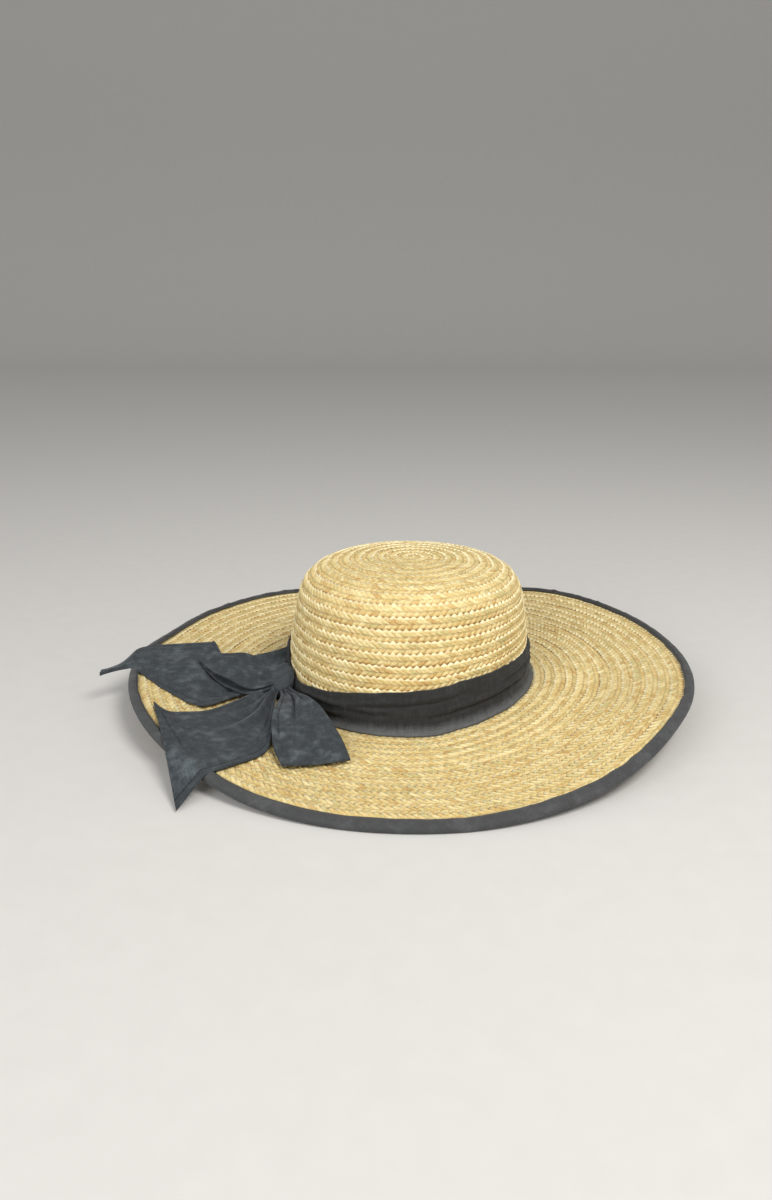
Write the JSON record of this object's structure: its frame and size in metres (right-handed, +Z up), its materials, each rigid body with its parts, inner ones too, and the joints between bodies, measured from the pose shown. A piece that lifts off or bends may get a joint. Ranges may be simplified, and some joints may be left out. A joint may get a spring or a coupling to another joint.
{
  "type": "wide-brimmed straw hat with bow",
  "caption": "Hat of sewn straw braid with a rounded crown and a wide wavy brim, a cloth band tied in a bow with hanging ends, and a cloth-bound edge.",
  "frame": {"origin": "on the surface that the hat lies on, under the middle of its overall box", "axes": "+Z up through the crown, -Y toward the front of the hat, -X toward the bow"},
  "size_m": [0.4544, 0.4348, 0.1078],
  "materials": {
    "straw": "semi-matt golden straw braid with a faint silky sheen",
    "band_cloth": "matt charcoal cloth with a fine plain weave",
    "binding_cloth": "matt slate-grey bias binding"
  },
  "bodies": {
    "root": {"crown": "straw", "brim": "straw", "brim_binding": "binding_cloth", "hat_band": "band_cloth", "bow_knot": "band_cloth", "bow_loop_upper": "band_cloth", "bow_loop_lower": "band_cloth", "bow_tail_upper": "band_cloth", "bow_tail_lower": "band_cloth"}
  },
  "joints": []
}
